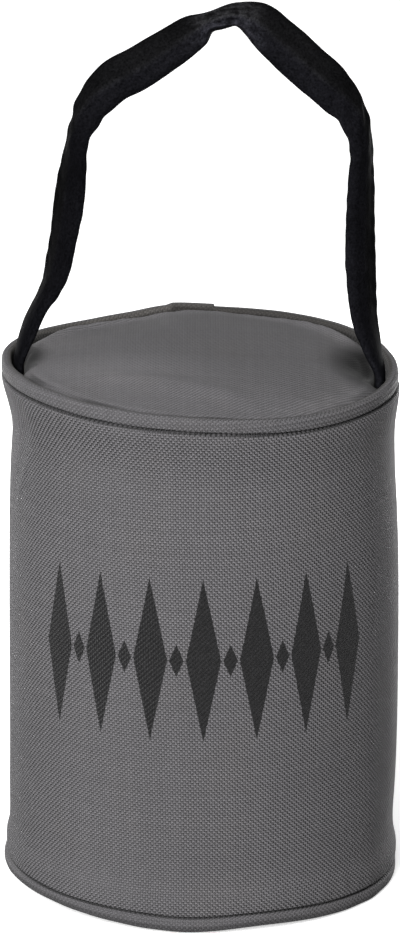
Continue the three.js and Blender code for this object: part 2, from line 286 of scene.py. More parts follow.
def base_underside(a, rings):
    seam_radius = FOOT_RADIUS - FLANGE_WIDTH / 2 - GAP
    rise = foot_edge(a) + BASE_LIFT
    return np.array([np.stack([np.full_like(a, r), rise * smoothstep(r, REST_RADIUS, seam_radius)], -1)
                     for r in [*rings, seam_radius]])


def to_points(radius, height, right, a):
    x, y = flat(radius, a)
    return np.stack([right + x, y, height + 0 * a], -1)


# ---- the filled cloth, settled by simulation

SIM_FRAMES = 20
SIM_SCALE = 10  # the solver works best on cloth of this size, so a net is made ten times as large
SIM_CAP = 4.0  # the most that a point's move may be
WALL_NET = (49, 144)  # rows, columns
PANEL_NET = (20, 96)


def settle(name, points, pinned, pressure, slack):
    """How far each point of a net of cloth moves as it comes to rest under the filling's pressure, with its
    pinned rows held. The net is rows of points, in millimetres, that run round the circle."""
    rows, columns = points.shape[:2]
    net = make_object(name, points.reshape(-1, 3) * SIM_SCALE, quads(rows, columns))
    group = net.vertex_groups.new(name="held")
    for row in pinned:
        group.add(list(range(row * columns, (row + 1) * columns)), 1.0, "REPLACE")
    cloth = net.modifiers.new("cloth", "CLOTH")
    s = cloth.settings
    s.quality = 6
    s.mass = 0.3
    s.tension_stiffness = s.compression_stiffness = 25
    s.shear_stiffness = 8
    s.bending_stiffness = 0.6
    s.tension_damping = s.compression_damping = s.shear_damping = 15
    s.air_damping = 4
    s.vertex_group_mass = "held"
    s.use_pressure = True
    s.uniform_pressure_force = pressure
    s.shrink_min = -slack
    s.effector_weights.gravity = 0
    cloth.collision_settings.use_collision = False
    cloth.point_cache.frame_start = 1
    cloth.point_cache.frame_end = SIM_FRAMES
    for f in range(1, SIM_FRAMES + 1):
        scene.frame_set(f)
        bpy.context.view_layer.update()
    solved = net.evaluated_get(bpy.context.evaluated_depsgraph_get())
    co = np.zeros(rows * columns * 3, np.float32)
    solved.data.vertices.foreach_get("co", co)
    move = co.reshape(rows, columns, 3).astype(float) / MM / SIM_SCALE - points
    mesh = net.data
    bpy.data.objects.remove(net)
    bpy.data.meshes.remove(mesh)
    scene.frame_set(1)
    far = np.linalg.norm(move, axis=-1, keepdims=True)
    return move * np.minimum(1, SIM_CAP / np.maximum(far, 1e-9))


def evened(net, times):
    """A net's values without the short creases that the solver leaves in it."""
    for _ in range(times):
        net = (2 * net + np.roll(net, 1, 1) + np.roll(net, -1, 1)) / 4
        net = (2 * net + np.concatenate([net[:1], net[:-1]]) + np.concatenate([net[1:], net[-1:]])) / 4
    return net


def sampled(net, rows, columns):
    """A net's values at fractional rows and columns."""
    i = np.clip(np.floor(rows).astype(int), 0, net.shape[0] - 2)
    j = np.floor(columns).astype(int)
    y, x = rows - i, columns - j
    j, k = j % net.shape[1], (j + 1) % net.shape[1]
    return (net[i, j] * (1 - x) + net[i, k] * x) * (1 - y) + (net[i + 1, j] * (1 - x) + net[i + 1, k] * x) * y


# ---- the side panel

COLUMNS = 720
STITCH = 2 * PITCH_ROUND  # length of one topstitch, from hole to hole
SEAM_DEPTH = 1.9  # how far the topstitching pulls the cloth in
SEAM_REACH = 0.7  # half the width of the furrow that it leaves
BACK_ROWS = [LAP_FROM + 1.5, LAP_TO - 1.5]  # angles of the two rows of stitching up the back seam
BACK_DEPTH = 0.35
BACK_REACH = 0.35  # degrees
NEAR_SEAM = [0, 0.25, 0.5, 0.8, 1.2, 1.7, 2.4, 3.3, 4.4, 5.8, 7.4, 9.2, 11.2, 13.4, 15.8]  # closer rings
WALL_HEIGHT = 181  # about, from seam to seam
HOLLOW_DROP = 1.0  # more room under the top panel than its gap
COUNT_UP, COUNT_ROUND = 60, 300  # the threads are counted from so far under the foot, left of the front
FOLD_ANGLE, FOLD_SHARE, FOLD_SLANT = 201, 0.82, 80  # the fold's middle, and its turn from the foot to the rim
FLANGE = [  # out, as a share of half the flange's width; back from the free edge, as a share of its height
    (0.93, 0.93), (0.99, 0.8), (1.02, 0.62), (1.02, 0.44), (0.98, 0.27), (0.88, 0.13), (0.7, 0.045),
    (0.45, 0), (0.12, 0), (-0.2, 0), (-0.5, 0.01), (-0.74, 0.06), (-0.91, 0.16), (-1, 0.34),
    (-1, 0.6), (-0.98, 0.85),
]


def columns_round():
    """Angles from the back seam's turned edge once round, with more where something starts or ends."""
    even = LAP_FROM + np.arange(COLUMNS) * 360 / COLUMNS
    extra = [LAP_FROM + d for d in (0.05, 0.1, 0.15, 0.22)] + [LAP_TO + d for d in (-0.15, -0.05, 0.05)]
    extra += [360 + LAP_FROM + d for d in (-0.2, -0.08)]
    extra += [at + d for at in BACK_ROWS for d in (-0.35, -0.2, -0.1, 0, 0.1, 0.2, 0.35)]
    return np.unique(np.round(np.concatenate([even, extra]), 4))


def flange(middle, edge, seam, inside, outside, a):
    """A turned hem's section round a free edge, as rows; inside and outside are the back seam's lap."""
    rows = []
    flutter = 0.10 * waves(a * 1.2, 21 if middle == RIM_RADIUS else 22, 6, 12, 30)
    for out, back in FLANGE:
        side = outside if out > 0 else -inside
        thick = 1 - 0.05 * (1 - math.cos(out * math.pi)) / 2
        rows.append(np.stack([middle + out * thick * FLANGE_WIDTH / 2 + side + flutter * (1 - back),
                              edge + (seam - edge) * back + 0 * a], -1))
    return rows


def furrow(distance, a):
    """How far the topstitching draws the cloth in, at a distance from it: furthest at the needle's holes."""
    hole = 0.5 + 0.5 * np.cos(2 * math.pi * np.radians(a) * CLOTH_RADIUS / STITCH)
    return (SEAM_DEPTH - 0.5 * (1 - hole)) * np.exp(-(distance / SEAM_REACH) ** 2)


def puckers(a, share):
    """Short uneven waves where the topstitching gathers the wall, gone within a few centimetres."""
    arc = np.radians(a) * CLOTH_RADIUS

    def fading(away, reach, power, start):
        return np.exp(-(away / reach) ** power) * smoothstep(away, 0, start)

    return (0.07 * waves(arc, 31, 7, 6, 15) * fading(1 - share, 0.045, 1.3, 0.012)
            + 0.08 * waves(arc, 32, 7, 6, 15) * fading(share, 0.045, 1.3, 0.012)
            + 0.16 * waves(arc + 22 * share, 33, 6, 28, 60) * fading(1 - share, 0.16, 2, 0.03)
            + 0.14 * waves(arc - 18 * share, 34, 6, 30, 60) * fading(share, 0.14, 2, 0.03))


def simulated_wall():
    """The wall's uneven swell once it is filled: each point's move out of the mean of its row."""
    rows, columns = WALL_NET
    share = np.linspace(0, 1, rows)[:, None]
    a = np.linspace(0, 360, columns, endpoint=False)[None, :]
    low, high = foot_seam(a), rim_edge(a) - FLANGE_HEIGHT
    shrunk = np.sin(math.pi * share) ** 0.3 + np.random.default_rng(3).normal(0, 0.05, (rows, columns))
    net = to_points(wall_radius(share) + unevenness(a, share) - shrunk, low + (high - low) * share,
                    wall_right(share), a)
    move = settle("wall_net", net, [0, rows - 1], pressure=6, slack=0.02)
    x, y = flat(1, a)
    out = move[..., 0] * x + move[..., 1] * y
    out = 1.6 * evened(np.clip(out - out.mean(1, keepdims=True), -0.8, 0.8), 8)
    return out * smoothstep(share, 0.02, 0.14) * (1 - smoothstep(share, 0.84, 0.97))


WALL_SWELL = simulated_wall()


def wall_out(a, share):
    """How far the filled wall stands out from its table's radius: its swell, its puckers, a soft fold that
    slants down the left side under the rim, and the back seam's two rows of stitching."""
    swell = sampled(WALL_SWELL, share * (WALL_NET[0] - 1) + 0 * a, (a % 360) / 360 * WALL_NET[1])
    back = sum(BACK_DEPTH * bump(apart(a, at), 0, BACK_REACH) for at in BACK_ROWS)
    aside = (a % 360) - FOLD_ANGLE - FOLD_SLANT * (share - FOLD_SHARE)
    fold = (0.42 * bump(aside, 0, 1.5) - 0.3 * bump(aside, -4, 3)) * bump(share, FOLD_SHARE, 0.06)
    return unevenness(a, share) + swell + puckers(a, share) + fold - back


def wall_point(a, share):
    """[radius, height, right] on the wall, without its seams' furrows."""
    low, high = foot_seam(a), rim_edge(a) - FLANGE_HEIGHT
    return wall_radius(share) + wall_out(a, share) + lap_outside(a % 360) * LAP_THICK, \
        low + (high - low) * share, wall_right(share)


def make_side_panel():
    a = columns_round()
    wrapped = a % 360
    outside, inside = lap_outside(wrapped) * LAP_THICK, lap_inside(wrapped) * LAP_THICK
    low, high = foot_seam(a), rim_edge(a) - FLANGE_HEIGHT
    tall = high - low

    under = inset(base_underside(a, [30, REST_RADIUS, 62.5]), -CLOTH - GAP)
    corner = np.stack([np.full_like(a, FOOT_RADIUS - FLANGE_WIDTH / 2), under[-1, :, 1]], -1)
    foot = flange(FOOT_RADIUS, foot_edge(a), low, 0, outside, a)[::-1]
    rim = flange(RIM_RADIUS, rim_edge(a) + outside * 0.8, high, inside, outside, a)

    near = np.array(NEAR_SEAM) / WALL_HEIGHT
    middle = np.linspace(near[-1], 1 - near[-1], 50)[1:-1]
    shares = np.concatenate([near, middle, 1 - near[::-1]])
    wall, right = [], []
    for share in shares:
        radius, height, aside = wall_point(a, share)
        depth = furrow(share * tall, a) + furrow((1 - share) * tall, a)
        wall.append(np.stack([radius - depth, height], -1))
        right.append(aside)
    first = len(under) + 1 + len(foot)  # of the wall's sections
    last = first + len(wall) - 1
    floor = rim_edge(a) - GROOVE_DEPTH
    groove = np.stack([RIM_RADIUS - FLANGE_WIDTH / 2 - inside, floor], -1)
    hollow = panel_top(a, [16, 33, 48], [0, 0.45, 0.8, 1])
    pull = panel_pull(hollow[..., 0], a) - HOLLOW_DROP
    hollow = (inset(hollow, CLOTH + GAP) + np.stack([0 * pull, pull], -1))[::-1].copy()
    hollow[0, :, 1] = floor
    sections = np.array([*under, corner, *foot, *wall, *rim, groove, *hollow])
    rights = np.array([0.0] * first + right + [0.0] * (len(rim) + 1 + len(hollow)))
    rings = to_points(sections[..., 0], sections[..., 1], rights[:, None], a[None, :])

    # the cloth's own coordinates, in threads: level rows up the wall, and on over the rim and under the foot
    z = sections[..., 1]
    run = np.hypot(*np.moveaxis(np.diff(sections, axis=0), -1, 0))
    up = z.copy()
    for i in range(last + 1, len(sections)):
        up[i] = up[i - 1] + run[i - 1]
    for i in range(first - 1, -1, -1):
        up[i] = up[i + 1] - run[i]
    gain = (PITCH_TOP - PITCH_FOOT) / RIM_LEVEL
    rows = np.log(1 + gain * (up + COUNT_UP) / (PITCH_FOOT - gain * COUNT_UP)) / gain
    arc = np.radians(a - FRONT) * CLOTH_RADIUS
    threads = (arc[None, :] + LEAN * (z - RIM_LEVEL) + COUNT_ROUND) / PITCH_ROUND
    whole = 2 * math.pi * CLOTH_RADIUS / PITCH_ROUND
    weave = np.stack([closed(threads, whole), closed(rows)], -1)
    arcs = np.append(arc, arc[0] + 2 * math.pi * CLOTH_RADIUS)
    place = np.stack([np.broadcast_to(arcs, weave.shape[:2]), closed(up)], -1) * MM
    # where the flanges' cloth turns over: the way on past the free edge, and the way to it from the stitching
    index = np.arange(len(sections))[:, None]
    over = np.where(index < first, foot_edge(a) - up, -9)
    over = np.where(index > last, up - rim_edge(a) - outside * 0.8, over)
    seam = np.where(z > RIM_LEVEL / 2, up - high, low - up)
    hem = np.stack([closed(over), closed(seam)], -1) * MM
    level = np.concatenate([[0], np.cumsum(run.mean(1))])
    turn = np.append((a - a[0]) / 360, 1.0)
    bake = np.stack(np.broadcast_arrays(turn[None, :], (level / level[-1])[:, None]), -1)
    return lathe("filled_drum", rings, {"weave": weave, "place": place, "hem": hem, "OFBake": bake})


# ---- the round panels

PANEL_COLUMNS = 360
HIGH_BACK = [  # where the panel's back is pushed up: high, radius, reach, angle, width
    (0.9, 57, 9, 86, 14), (1.3, 60, 5, 40, 20), (1.6, 60, 5, 136, 20),
]


def panel_maps(x, y, inward, painted_shading):
    """Maps for a round panel: its threads, and the distance in from its seam beside its painted shade and
    highlight.
    """
    weave = np.stack([(x + 100) / PITCH_ROUND, (y + 100) / PITCH_TOP], -1)
    hem = np.stack(np.broadcast_arrays(inward * MM, painted_shading + 0 * x), -1)
    return {"weave": closed(weave), "hem": closed(hem)}


def simulated_panel():
    """The top panel's uneven swell, in the same way, and the radius of each row of its net."""
    rows, columns = PANEL_NET
    a = np.linspace(0, 360, columns, endpoint=False)
    section = panel_top(a, np.linspace(3, SHOULDER_RADIUS, rows - 4), [0.3, 0.55, 0.8, 1])
    noise = np.random.default_rng(5).normal(0, 0.04, section.shape[:2])
    net = to_points(section[..., 0], section[..., 1] + noise, 0, a[None, :])
    move = settle("panel_net", net, [rows - 1], pressure=3, slack=0.012)
    rise = move[..., 2]
    return evened(rise - rise.mean(1, keepdims=True), 4), section[..., 0].mean(1)


PANEL_SWELL, PANEL_RADII = simulated_panel()


def beside_strap(r, a):
    """1 right beside the strap's right end and its left end, fading over the top panel."""
    x, y = flat(r, a)
    return bump(x, 61, 9.5) * bump(y, 2, 12), bump(x, -61, 6.5) * bump(y, 1, 9)


def painted_shade_and_highlight(r, a):
    """Painted shade on the top panel: darkest beside the strap's ends, where the panel dips, and a little over
    its far right. Below 0 where painted highlight makes it paler than the rest: on the rolled edge at the
    back, and at the front left."""
    x, y = flat(r, a)
    # painted shade beside the strap's right and left ends, where the panel dips
    right = 0.97 * (1 - smoothstep(np.hypot(x - 63, (y - 2) * 0.7), 9, 22.5))
    left = 0.85 * (1 - smoothstep(np.hypot(x + 63, (y - 4) * 0.6), 4, 12))
    # painted shade over the far right, less a painted highlight at the front left
    far = 0.18 * smoothstep((x + y) * 0.7, -32, 8) * smoothstep(panel_seam_radius(a) - r, 6, 14)
    far = far - 0.18 * bump(x, -30, 24) * bump(y, -22, 14)
    # painted highlight on the rolled edge at the back
    far = far - (0.36 * bump(r, 60.8, 1.3) + 0.10 * bump(r, 58, 4)) * smoothstep(y, 5, 25)
    return 1 - (1 - right) * (1 - left) * (1 - far)


def panel_pull(r, a):
    """How far the strap's ends draw the panel down beside them."""
    right, left = beside_strap(r, a)
    return -(3.8 * right + 1.8 * left) * smoothstep(panel_seam_radius(a) - r, -0.1, 3)


def panel_detail(r, a):
    """What the panel adds to its crown: the simulated swell, a soft ridge and valley across the front, a
    hollow beside each end of the strap, a raised back with a rolled edge, and short puckers at its seam."""
    t = np.radians(a)
    x, y = flat(r, a)
    inward = panel_seam_radius(a) - r
    row = np.interp(r, PANEL_RADII, np.arange(PANEL_NET[0]))
    swell = sampled(PANEL_SWELL, row, (a % 360) / 360 * PANEL_NET[1])
    line = -30 - 0.30 * (x + 28) - 0.0012 * (x + 28) ** 2
    ridge = 0.65 * bump(y, line, 4.5) * smoothstep(x, -48, -22) * (1 - smoothstep(x, 8, 24))
    valley = -0.35 * bump(y, line - 12, 6.5) * smoothstep(x, -46, -24) * (1 - smoothstep(x, 4, 22))
    bead = 0.7 * bump(r, 59.3, 1.7) * smoothstep(y, 5, 25)
    high_back = sum(high * bump(r, radius, reach) * bump(apart(a, at), 0, width)
                    for high, radius, reach, at, width in HIGH_BACK)
    free = smoothstep(inward, 0.5, 6)
    edge = smoothstep(r, 46, 57) * smoothstep(inward, 2.5, 5.5)
    gather = (0.08 * waves(t * r, 41, 7, 5, 13) + 0.10 * waves(t * 60, 42, 6, 17, 40)) * edge
    return (swell + ridge + valley + bead + high_back) * free + panel_pull(r, a) + gather


def make_top_panel():
    a = np.arange(PANEL_COLUMNS) * 360 / PANEL_COLUMNS
    crown = [3, 7, 11, 15, 19, 23, 27, 30, 33, 36, 39, 42, 45, 48, 50.5, 53, 55, 57]
    top = panel_top(a, crown, np.linspace(0, 1, 11))
    under = inset(top, CLOTH)
    under[-1, :, 1] = top[-1, :, 1]
    lift = panel_detail(top[..., 0], a[None, :])
    top[..., 1] += lift
    under[..., 1] += lift
    section = np.concatenate([under, top[::-1]])
    rings = to_points(section[..., 0], section[..., 1], 0, a[None, :])
    radii = np.concatenate([top, top[::-1]])[..., 0]
    # the panel's painted shade and highlight go into its hem map
    maps = panel_maps(rings[..., 0], rings[..., 1], panel_seam_radius(a) - radii, painted_shade_and_highlight(radii, a[None, :]))
    return lathe("crowned_top", rings, maps)


def make_base_panel():
    a = np.arange(PANEL_COLUMNS // 2) * 720 / PANEL_COLUMNS
    under = base_underside(a, [10, 20, 30, 40, 50, REST_RADIUS, 60, 62.5, 65])
    x, y = flat(under[..., 0], a)
    dimple = 0.12 * (1 + waves(x, 51, 5, 14, 37) * waves(y, 52, 5, 14, 37))
    under[..., 1] += np.clip(dimple, 0, 0.5) * (1 - smoothstep(under[..., 0], 50, REST_RADIUS))
    section = np.concatenate([under, inset(under, -CLOTH)[::-1]])
    rings = to_points(section[..., 0], section[..., 1], 0, a[None, :])
    return lathe("floor_panel", rings, panel_maps(rings[..., 0], rings[..., 1], 50, 0))


# ---- topstitching

THREAD = 0.23  # radius of the thread


def stitches(starts, ends, out, bury):
    """Thread from hole to hole: a short tube for each stitch, its ends dipping into the cloth. starts and
    ends are points, and out the direction away from the cloth at each."""
    steps, sides = 7, 6
    q = np.linspace(-1, 1, steps)
    vertices, faces = [], []
    spin = np.linspace(0, 2 * math.pi, sides, endpoint=False)
    loops = [[a, d, c, b] for a, b, c, d in quads(steps, sides)]
    loops += [list(range(sides)), [(steps - 1) * sides + j for j in reversed(range(sides))]]
    for start, end, away in zip(starts, ends, out):
        middle, half = (start + end) / 2, (end - start) / 2 * 0.97
        side = np.cross(half / np.linalg.norm(half), away)
        first = len(vertices)
        for x in q:
            centre = middle + half * x + away * (THREAD * 0.5 - bury * abs(x) ** 3)
            girth = THREAD * (1 - 0.55 * abs(x) ** 5)
            for turn in spin:
                vertices.append(centre + girth * (math.cos(turn) * away + 1.15 * math.sin(turn) * side))
        faces.extend([[first + corner for corner in loop] for loop in loops])
    return vertices, faces


def make_topstitching():
    count = round(2 * math.pi * CLOTH_RADIUS / STITCH)
    vertices, faces = [], []

    def add(holes, away, bury):
        more, loops = stitches(holes[:-1], holes[1:], away[:-1] / 2 + away[1:] / 2, bury)
        shift = len(vertices)
        vertices.extend(more)
        faces.extend([[i + shift for i in loop] for loop in loops])

    # a row round the rim and one round the foot, down in their furrows
    a = LAP_FROM + 0.6 + np.arange(count + 1) * 360 / count
    out = to_points(1, 0, 0, a)
    for share, level in ((1, rim_edge(a) - FLANGE_HEIGHT), (0, foot_seam(a))):
        radius, _, right = wall_point(a, np.full_like(a, share))
        add(to_points(radius - SEAM_DEPTH + 0.25, level, right, a), out, 0.45)

    # the two rows up the back seam
    for at in BACK_ROWS:
        share = np.linspace(0.012, 0.988, 76)
        radius, height, right = wall_point(np.full_like(share, at), share)
        out = np.broadcast_to(to_points(1, 0, 0, at), (len(share), 3))
        add(to_points(radius, height, right, at), out, 0.4)
    return make_object("topstitching", vertices, faces)


# ---- the strap

STRAP_STEPS = 420
STRAP_SIDES = 44
STRAP_SQUARE = 0.62  # its section: 1 is an ellipse, and less is squarer
CREASE_AT = -0.17  # the crease along the strap's middle lies a little towards its inner edge
CREASE_RUN = 10.6  # ... which is this far round the section from the outer edge
GATHER_AT = 9.5  # how far to the right of the drum's middle the strap is gathered
APEX_ROW, LEFT_BEND, RIGHT_BEND = 14.4, 8.4, 20.2  # in the table: where it is gathered and where it buckles


def strap_line(places):
    """The strap's middle line: a centripetal Catmull-Rom curve through its table."""
    p = np.array([[row[0], 0.0, row[1]] for row in STRAP])
    p = np.concatenate([[2 * p[0] - p[1]], p, [2 * p[-1] - p[-2]]])
    i = np.clip(np.floor(places).astype(int), 0, len(STRAP) - 2)
    w = (places - i)[:, None]
    p0, p1, p2, p3 = p[i], p[i + 1], p[i + 2], p[i + 3]
    d0, d1, d2 = [np.sqrt(np.linalg.norm(d, axis=1, keepdims=True)) for d in (p1 - p0, p2 - p1, p3 - p2)]
    t1 = ((p1 - p0) / d0 - (p2 - p0) / (d0 + d1) + (p2 - p1) / d1) * d1
    t2 = ((p2 - p1) / d1 - (p3 - p1) / (d1 + d2) + (p3 - p2) / d2) * d1
    return ((2 * w**3 - 3 * w**2 + 1) * p1 + (w**3 - 2 * w**2 + w) * t1
            + (3 * w**2 - 2 * w**3) * p2 + (w**3 - w**2) * t2)


def make_strap():
    dense = np.linspace(0, len(STRAP) - 1, 4000)
    line = strap_line(dense)
    length = np.concatenate([[0], np.cumsum(np.linalg.norm(np.diff(line, axis=0), axis=1))])
    s = np.linspace(0, length[-1], STRAP_STEPS)
    place = np.interp(s, length, dense)
    centre = strap_line(place)
    tangent = np.gradient(centre, s, axis=0)
    tangent /= np.linalg.norm(tangent, axis=1, keepdims=True)
    table = np.array(STRAP, float)
    at = place[:, None]
    wide, thick, turn, crease = [along(np.arange(len(STRAP)), table[:, c], at) for c in (2, 3, 4, 5)]
    back = np.array([0, 1.0, 0])
    face = np.sin(np.radians(turn)) * np.cross(tangent, back) - np.cos(np.radians(turn)) * back
    face -= (face * tangent).sum(1, keepdims=True) * tangent
    face /= np.linalg.norm(face, axis=1, keepdims=True)
    across = np.cross(face, tangent)

    angle = np.linspace(0, 2 * math.pi, STRAP_SIDES, endpoint=False)
    u, v = [(np.sign(x) * np.abs(x) ** STRAP_SQUARE)[None, :] for x in (np.cos(angle), np.sin(angle))]
    col = s[:, None]
    free = smoothstep(at, 1.5, 4) * (1 - smoothstep(at, 25, 26.8))
    apex, fan = bump(at, APEX_ROW, 1.6), bump(at, APEX_ROW, 3.4)
    bends = bump(at, LEFT_BEND, 0.8) + bump(at, RIGHT_BEND, 0.9)

    # the crease: a soft ridge, with the strap's two halves falling away from it
    beside = u - CREASE_AT
    ridge = np.clip(1 - np.sqrt(beside**2 + 0.003) / (1 - CREASE_AT * np.sign(beside)), 0, 1)
    lift = crease * ridge
    # the gathered middle: deep folds that fan out into both arms
    folds = 2 * math.pi * (1.35 * u + 0.11 * waves(col, 61, 3, 9, 30)) + 0.6
    lift = lift + (0.75 * apex + 0.28 * fan) * np.cos(folds)
    # slack buckles at the bends, slanting across the strap
    lift = lift + 0.35 * bends * np.cos((col + 7 * u) * 2 * math.pi / 9.5)
    # the loose cloth's small unevenness
    lift = lift + free * (0.16 * waves(col + 5 * u, 62, 6, 14, 38) * (0.5 + 0.5 * np.abs(u))
                          + 0.06 * waves(col - 8 * u, 63, 6, 5, 11))
    puffy = 1 + 0.28 * bump(np.abs(u), 0.78, 0.2) * free
    edge = np.where(u > 0, 0.10 * waves(col, 64, 6, 13, 34), 0.14 * waves(col, 65, 6, 11, 27))
    edge = edge * np.abs(u) ** 2 * free
    # the gathered middle's underside is nearly square: cut in at its left end, and full to its right
    x = centre[:, :1]
    edge = edge + np.clip(-u, 0, 1) * (0.9 * bump(x, 8.8, 3.4) - 1.3 * bump(x, 2.4, 2.2))
    girth = v * STRAP_THICK * thick / 2 * puffy
    sideways = u * STRAP_WIDTH * wide / 2 + np.sign(u) * edge
    rings = centre[:, None] + across[:, None] * sideways[..., None]
    rings = rings + face[:, None] * (girth + lift)[..., None]
    run = np.append(angle, 2 * math.pi) / math.pi * (STRAP_WIDTH + STRAP_THICK)
    nap = np.stack(np.broadcast_arrays(run[None, :], s[:, None]), -1) * MM
    return lathe("carrying_strap", rings, {"nap": nap})


# ---- materials


class Nodes:
    """A material under construction: the methods add nodes and return the last one's output."""

    def __init__(self, name):
        self.material = bpy.data.materials.new(name)
        self.material.use_nodes = True
        self.tree = self.material.node_tree
        self.shader = self.tree.nodes["Principled BSDF"]

    def node(self, kind, inputs=None, **settings):
        node = self.tree.nodes.new("ShaderNode" + kind)
        for key, value in settings.items():
            setattr(node, key, value)
        for key, value in (inputs or {}).items():
            self.feed(node.inputs[key], value)
        return node

    def feed(self, socket, value):
        if isinstance(value, bpy.types.NodeSocket):
            self.tree.links.new(value, socket)
        else:
            socket.default_value = value

    def math(self, operation, *values):
        node = self.node("Math", operation=operation)
        for socket, value in zip(node.inputs, values):
            self.feed(socket, value)
        return node.outputs[0]

    def times(self, a, b):
        return self.math("MULTIPLY", a, b)

    def plus(self, a, b):
        return self.math("ADD", a, b)

    def minus(self, a, b):
        return self.math("SUBTRACT", a, b)

    def linear(self, value, slope, start):
        return self.math("MULTIPLY_ADD", value, slope, start)

    def between(self, a, b):
        return self.math("ABSOLUTE", self.minus(a, b))

    def ramp(self, value, low, high, start=0.0, end=1.0):
        node = self.node("MapRange", {"Value": value, "From Min": low, "From Max": high, "To Min": start,
                                      "To Max": end}, interpolation_type="SMOOTHSTEP")
        return node.outputs["Result"]

    def mix(self, share, a, b):
        """From a to b, as numbers."""
        return self.plus(a, self.times(share, self.minus(b, a)))

    def mix_colours(self, share, a, b, blend="MIX"):
        node = self.node("Mix", data_type="RGBA", blend_type=blend)
        for index, value in ((0, share), (6, a), (7, b)):
            self.feed(node.inputs[index], value)
        return node.outputs[2]

    def colour(self, red, green, blue):
        return self.node("CombineColor", {"Red": red, "Green": green, "Blue": blue}).outputs["Color"]

    def map(self, name):
        split = self.node("SeparateXYZ", {"Vector": self.node("UVMap", uv_map=name).outputs["UV"]})
        return split.outputs["X"], split.outputs["Y"]

    def place(self):
        return self.node("TexCoord").outputs["Object"]

    def noise(self, scale, detail=2, rough=0.6):
        inputs = {"Vector": self.place(), "Scale": scale, "Detail": detail, "Roughness": rough}
        return self.node("TexNoise", inputs).outputs["Fac"]

    def constants(self, values):
        """Values set on the shader's own sockets."""
        for name, value in values.items():
            self.shader.inputs[name].default_value = value

    def finish(self, colour, roughness, height, strength, distance, normal=None):
        """The height is a bump on top of the normal."""
        relief = {"Height": height, "Strength": strength, "Distance": distance}
        if normal is not None:
            relief["Normal"] = normal
        self.feed(self.shader.inputs["Base Color"], colour)
        self.feed(self.shader.inputs["Roughness"], roughness)
        self.feed(self.shader.inputs["Normal"], self.node("Bump", relief).outputs["Normal"])
        return self.material


WARP_TONE = 0.130
WEFT_TONE = 0.177
GAP_SHADE = 0.36  # painted shade down between the threads, as a share of its neighbours' tone
DEEP = (0.02, 0.6)  # the heights between which a thread leaves the painted shade between the threads
THREAD_WIDE, THREAD_ROUND, THREAD_ARCH = 1.98, 2.6, 2.7  # a thread's section, and its arch over a crossing
ROUND_SLOPE = 4.9  # how steeply a thread's side falls, for each thread's width out from its middle ...
ARCH_SLOPE = -1.4  # ... and its dip between two crossings, for each thread's width along it
SLANT = 0.25  # of each thread's twist across its own line
CLOTH_TINT = (1.0, 0.968, 1.02, 1)
WARM_TINT = (1.02, 0.97, 0.99, 1)  # in faint patches
WRONG_SIDE = (0.66, 0.62, 0.59, 1)  # of the outside's tone
INK = (0.006, 0.0058, 0.0064, 1)

PRINT_MIDDLE = 102  # height of the printed row's middle
TALL, SLIM, SPACING, HALF_COUNT = 30.0, 6.2, 19.0, 3
SMALL_TALL, SMALL_SLIM = 6.0, 2.6
INK_RAGGED, INK_EDGE = 0.55, 0.15  # how far the ink's edge wanders, and half its width


def printed(n, x, z):
    """Where the generic print is: a level row of tall slim lozenges on the front, with a small one between
    each two. 1 in the print and 0 out of it; its edge wanders a little."""
    ragged = n.times(n.minus(n.noise(900), 0.5), INK_RAGGED)
    level = n.between(z, PRINT_MIDDLE)
    steps = n.math("DIVIDE", x, SPACING)

    def lozenge(index, slim, tall):
        aside = n.between(x, n.times(index, SPACING))
        reach = n.plus(n.math("DIVIDE", aside, slim), n.math("DIVIDE", level, tall))
        return n.times(n.minus(reach, 1), slim)

    tall = lozenge(n.math("ROUND", steps), SLIM, TALL)
    small = lozenge(n.plus(n.math("FLOOR", steps), 0.5), SMALL_SLIM, SMALL_TALL)
    beyond = n.times(n.minus(n.math("ABSOLUTE", steps), HALF_COUNT), SPACING)
    tall = n.math("MAXIMUM", tall, n.minus(beyond, SPACING / 2))
    small = n.math("MAXIMUM", small, beyond)
    edge = n.plus(n.math("MINIMUM", tall, small), ragged)
    return n.minus(1, n.ramp(edge, -INK_EDGE, INK_EDGE))


